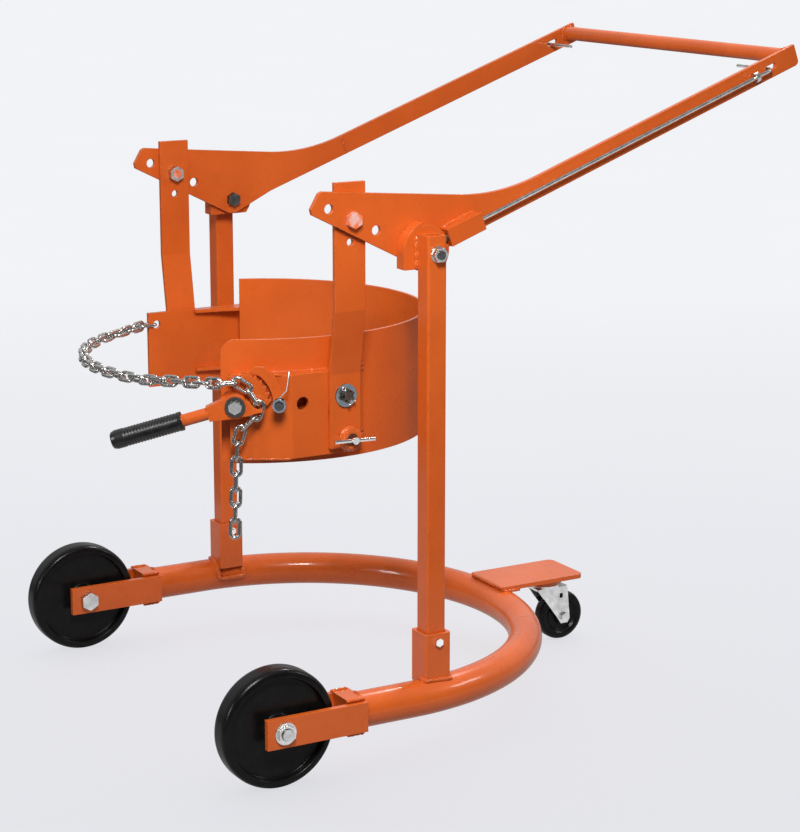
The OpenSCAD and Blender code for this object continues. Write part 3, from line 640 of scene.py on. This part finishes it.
def front_wheels():
    """A deep flat web between a raised hub and the tread's lip, on both sides."""
    half = [
        (0.0152, 0.0268), (0.0225, 0.0268), (0.024, 0.0112), (0.030, 0.0098), (0.079, 0.0092),
        (0.0835, 0.0102), (0.0850, 0.0198), (0.0862, 0.0216), (0.0885, 0.0216), (0.0945, 0.0206),
        (0.0975, 0.0180), (0.0992, 0.0145), (0.0999, 0.0090),
    ]
    for name, side in (("left", -1), ("right", 1)):
        centre = at(side * hoop_r, axle_y, axle_z)
        piece = moulded("moulded_wheel_" + name, half, 0.0016, centre, 128, "wheel_" + name)
        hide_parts("front_wheel_" + name)


def caster_tyre():
    """The caster's wheel, with a shallow web and a rounded tread."""
    half = [
        (0.0092, 0.0168), (0.0148, 0.0168), (0.0165, 0.0085), (0.0285, 0.008), (0.0325, 0.0128),
        (0.0355, 0.0147), (0.0405, 0.0148), (0.0452, 0.0118), (0.0472, 0.0062),
    ]
    centre = Vector(joints["caster_spin"]["pos_m"])
    piece = moulded("moulded_caster_wheel", half, 0.0012, centre, 96, "caster_roller")
    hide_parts("caster_wheel")


# ---------- studio ----------

def studio_floor():
    """Pale paper with a soft glow of its own that grows towards the back left."""
    s = Shader("studio_paper", Specular_IOR_Level=0.0, Emission_Strength=1.0)
    s.colour(s.ramp(s.noise(1.5, 2), (0.3, (0.30, 0.302, 0.31)), (0.7, (0.32, 0.322, 0.33))))
    away = s.math("ADD", s.vector("DOT_PRODUCT", s.coords, (-0.174, 0.0992, 0))["Value"], 0.2)
    near, middle, far = (0.665, 0.675, 0.705), (0.695, 0.702, 0.735), (0.775, 0.783, 0.805)
    glow = s.ramp(away, (0.0, near), (0.35, middle), (1.0, far))
    s.link(glow, s.surface.inputs["Emission Color"])
    s.roughness(s.noise(30, 2), 0.85, 0.95)
    half = 30
    bm = bmesh.new()
    for x, y in ((-half, -half), (half, -half), (half, half), (-half, half)):
        bm.verts.new((x, y, 0))
    bm.faces.new(bm.verts)
    mesh = bpy.data.meshes.new("studio_floor")
    bm.to_mesh(mesh)
    bm.free()
    mesh.materials.append(s.material)
    floor = bpy.data.objects.new("studio_floor", mesh)
    bpy.context.scene.collection.objects.link(floor)
    return floor


def area_light(name, place, aim, size, power, lit, colour=(1, 1, 1)):
    data = bpy.data.lights.new(name, "AREA")
    data.shape = "RECTANGLE"
    data.size, data.size_y = size
    data.energy = power
    data.color = colour
    lamp = bpy.data.objects.new(name, data)
    lamp.location = place
    lamp.rotation_euler = (Vector(aim) - Vector(place)).to_track_quat("-Z", "Y").to_euler()
    lamp.light_linking.receiver_collection = lit
    lamp.visible_camera = False
    bpy.context.scene.collection.objects.link(lamp)


def soft_box_world():
    """Surroundings that are bright above and behind the dolly and dark on the side of the camera."""
    world = bpy.data.worlds.new("studio")
    world.use_nodes = True
    tree = world.node_tree
    background = tree.nodes["Background"]
    background.inputs["Strength"].default_value = 0.55
    coords = tree.nodes.new("ShaderNodeTexCoord")
    toward = tree.nodes.new("ShaderNodeVectorMath")
    toward.operation = "DOT_PRODUCT"
    toward.inputs[1].default_value = (-0.66, 0.38, 0.65)
    ramp = tree.nodes.new("ShaderNodeValToRGB")
    elements = ramp.color_ramp.elements
    for i, (place, grey) in enumerate(((0.0, 0.16), (0.3, 0.5), (0.75, 1.0))):
        e = elements[i] if i < 2 else elements.new(place)
        e.position = place
        e.color = (grey, grey * 1.002, grey * 1.02, 1)
    tree.links.new(coords.outputs["Generated"], toward.inputs[0])
    tree.links.new(toward.outputs["Value"], ramp.inputs["Fac"])
    tree.links.new(ramp.outputs["Color"], background.inputs["Color"])
    bpy.context.scene.world = world


def studio_lights(floor):
    """Lamps that light the dolly alone.

    The floor's glow falls on itself, on the metal pieces but the chain, and on the pale-patched hanger
    bolts.
    """
    lit = bpy.data.collections.new("lit_by_lamps")
    paper = bpy.data.collections.new("lit_by_paper")
    paper.objects.link(floor)
    for obj in bpy.context.scene.objects:
        if obj.type == "MESH" and obj != floor:
            lit.objects.link(obj)
            if obj.active_material not in (ORANGE, WELD, WHEEL, GRIP, CHAIN):
                paper.objects.link(obj)
    floor.light_linking.receiver_collection = paper
    middle = (0, 0, 0.6)
    area_light("key", (1.9, -1.1, 2.3), (0.2, 0.1, 0.6), (0.7, 0.7), 68, lit, (1.0, 0.985, 0.96))
    area_light("side", (0.6, -4.8, 1.8), middle, (0.9, 0.9), 45, lit)
    area_light("rim", (2.6, 4.2, 3.0), middle, (1.6, 0.8), 40, lit)
    area_light("streak", (-0.75, 1.45, 2.6), (0.4, 0.1, 0.1), (0.35, 0.35), 34, lit)
    area_light("bounce", (0, 0.1, 0.004), (0, 0.1, 1), (2.4, 2.4), 6, lit)


def camera():
    """The photo's camera, fitted to the drum, the wheels, the uprights and the arms."""
    data = bpy.data.cameras.new("camera")
    data.sensor_width = 36.0
    data.lens = 102.74
    eye = bpy.data.objects.new("camera", data)
    eye.location = at(3610.1, -1782.1, 1433.3)
    azimuth, pitch = math.radians(60.22), math.radians(-12.99)
    level = math.cos(pitch)
    look = Vector((-math.sin(azimuth) * level, math.cos(azimuth) * level, math.sin(pitch)))
    eye.rotation_euler = look.to_track_quat("-Z", "Y").to_euler()
    bpy.context.scene.collection.objects.link(eye)
    bpy.context.scene.camera = eye


dress_frame()
base_welds()
lever_welds()
saddle_welds()
guide_weld()
threads()
cotters()
pawl_coil()
front_wheels()
caster_tyre()
soft_box_world()
studio_lights(studio_floor())
camera()
bpy.context.scene.view_settings.view_transform = "Standard"
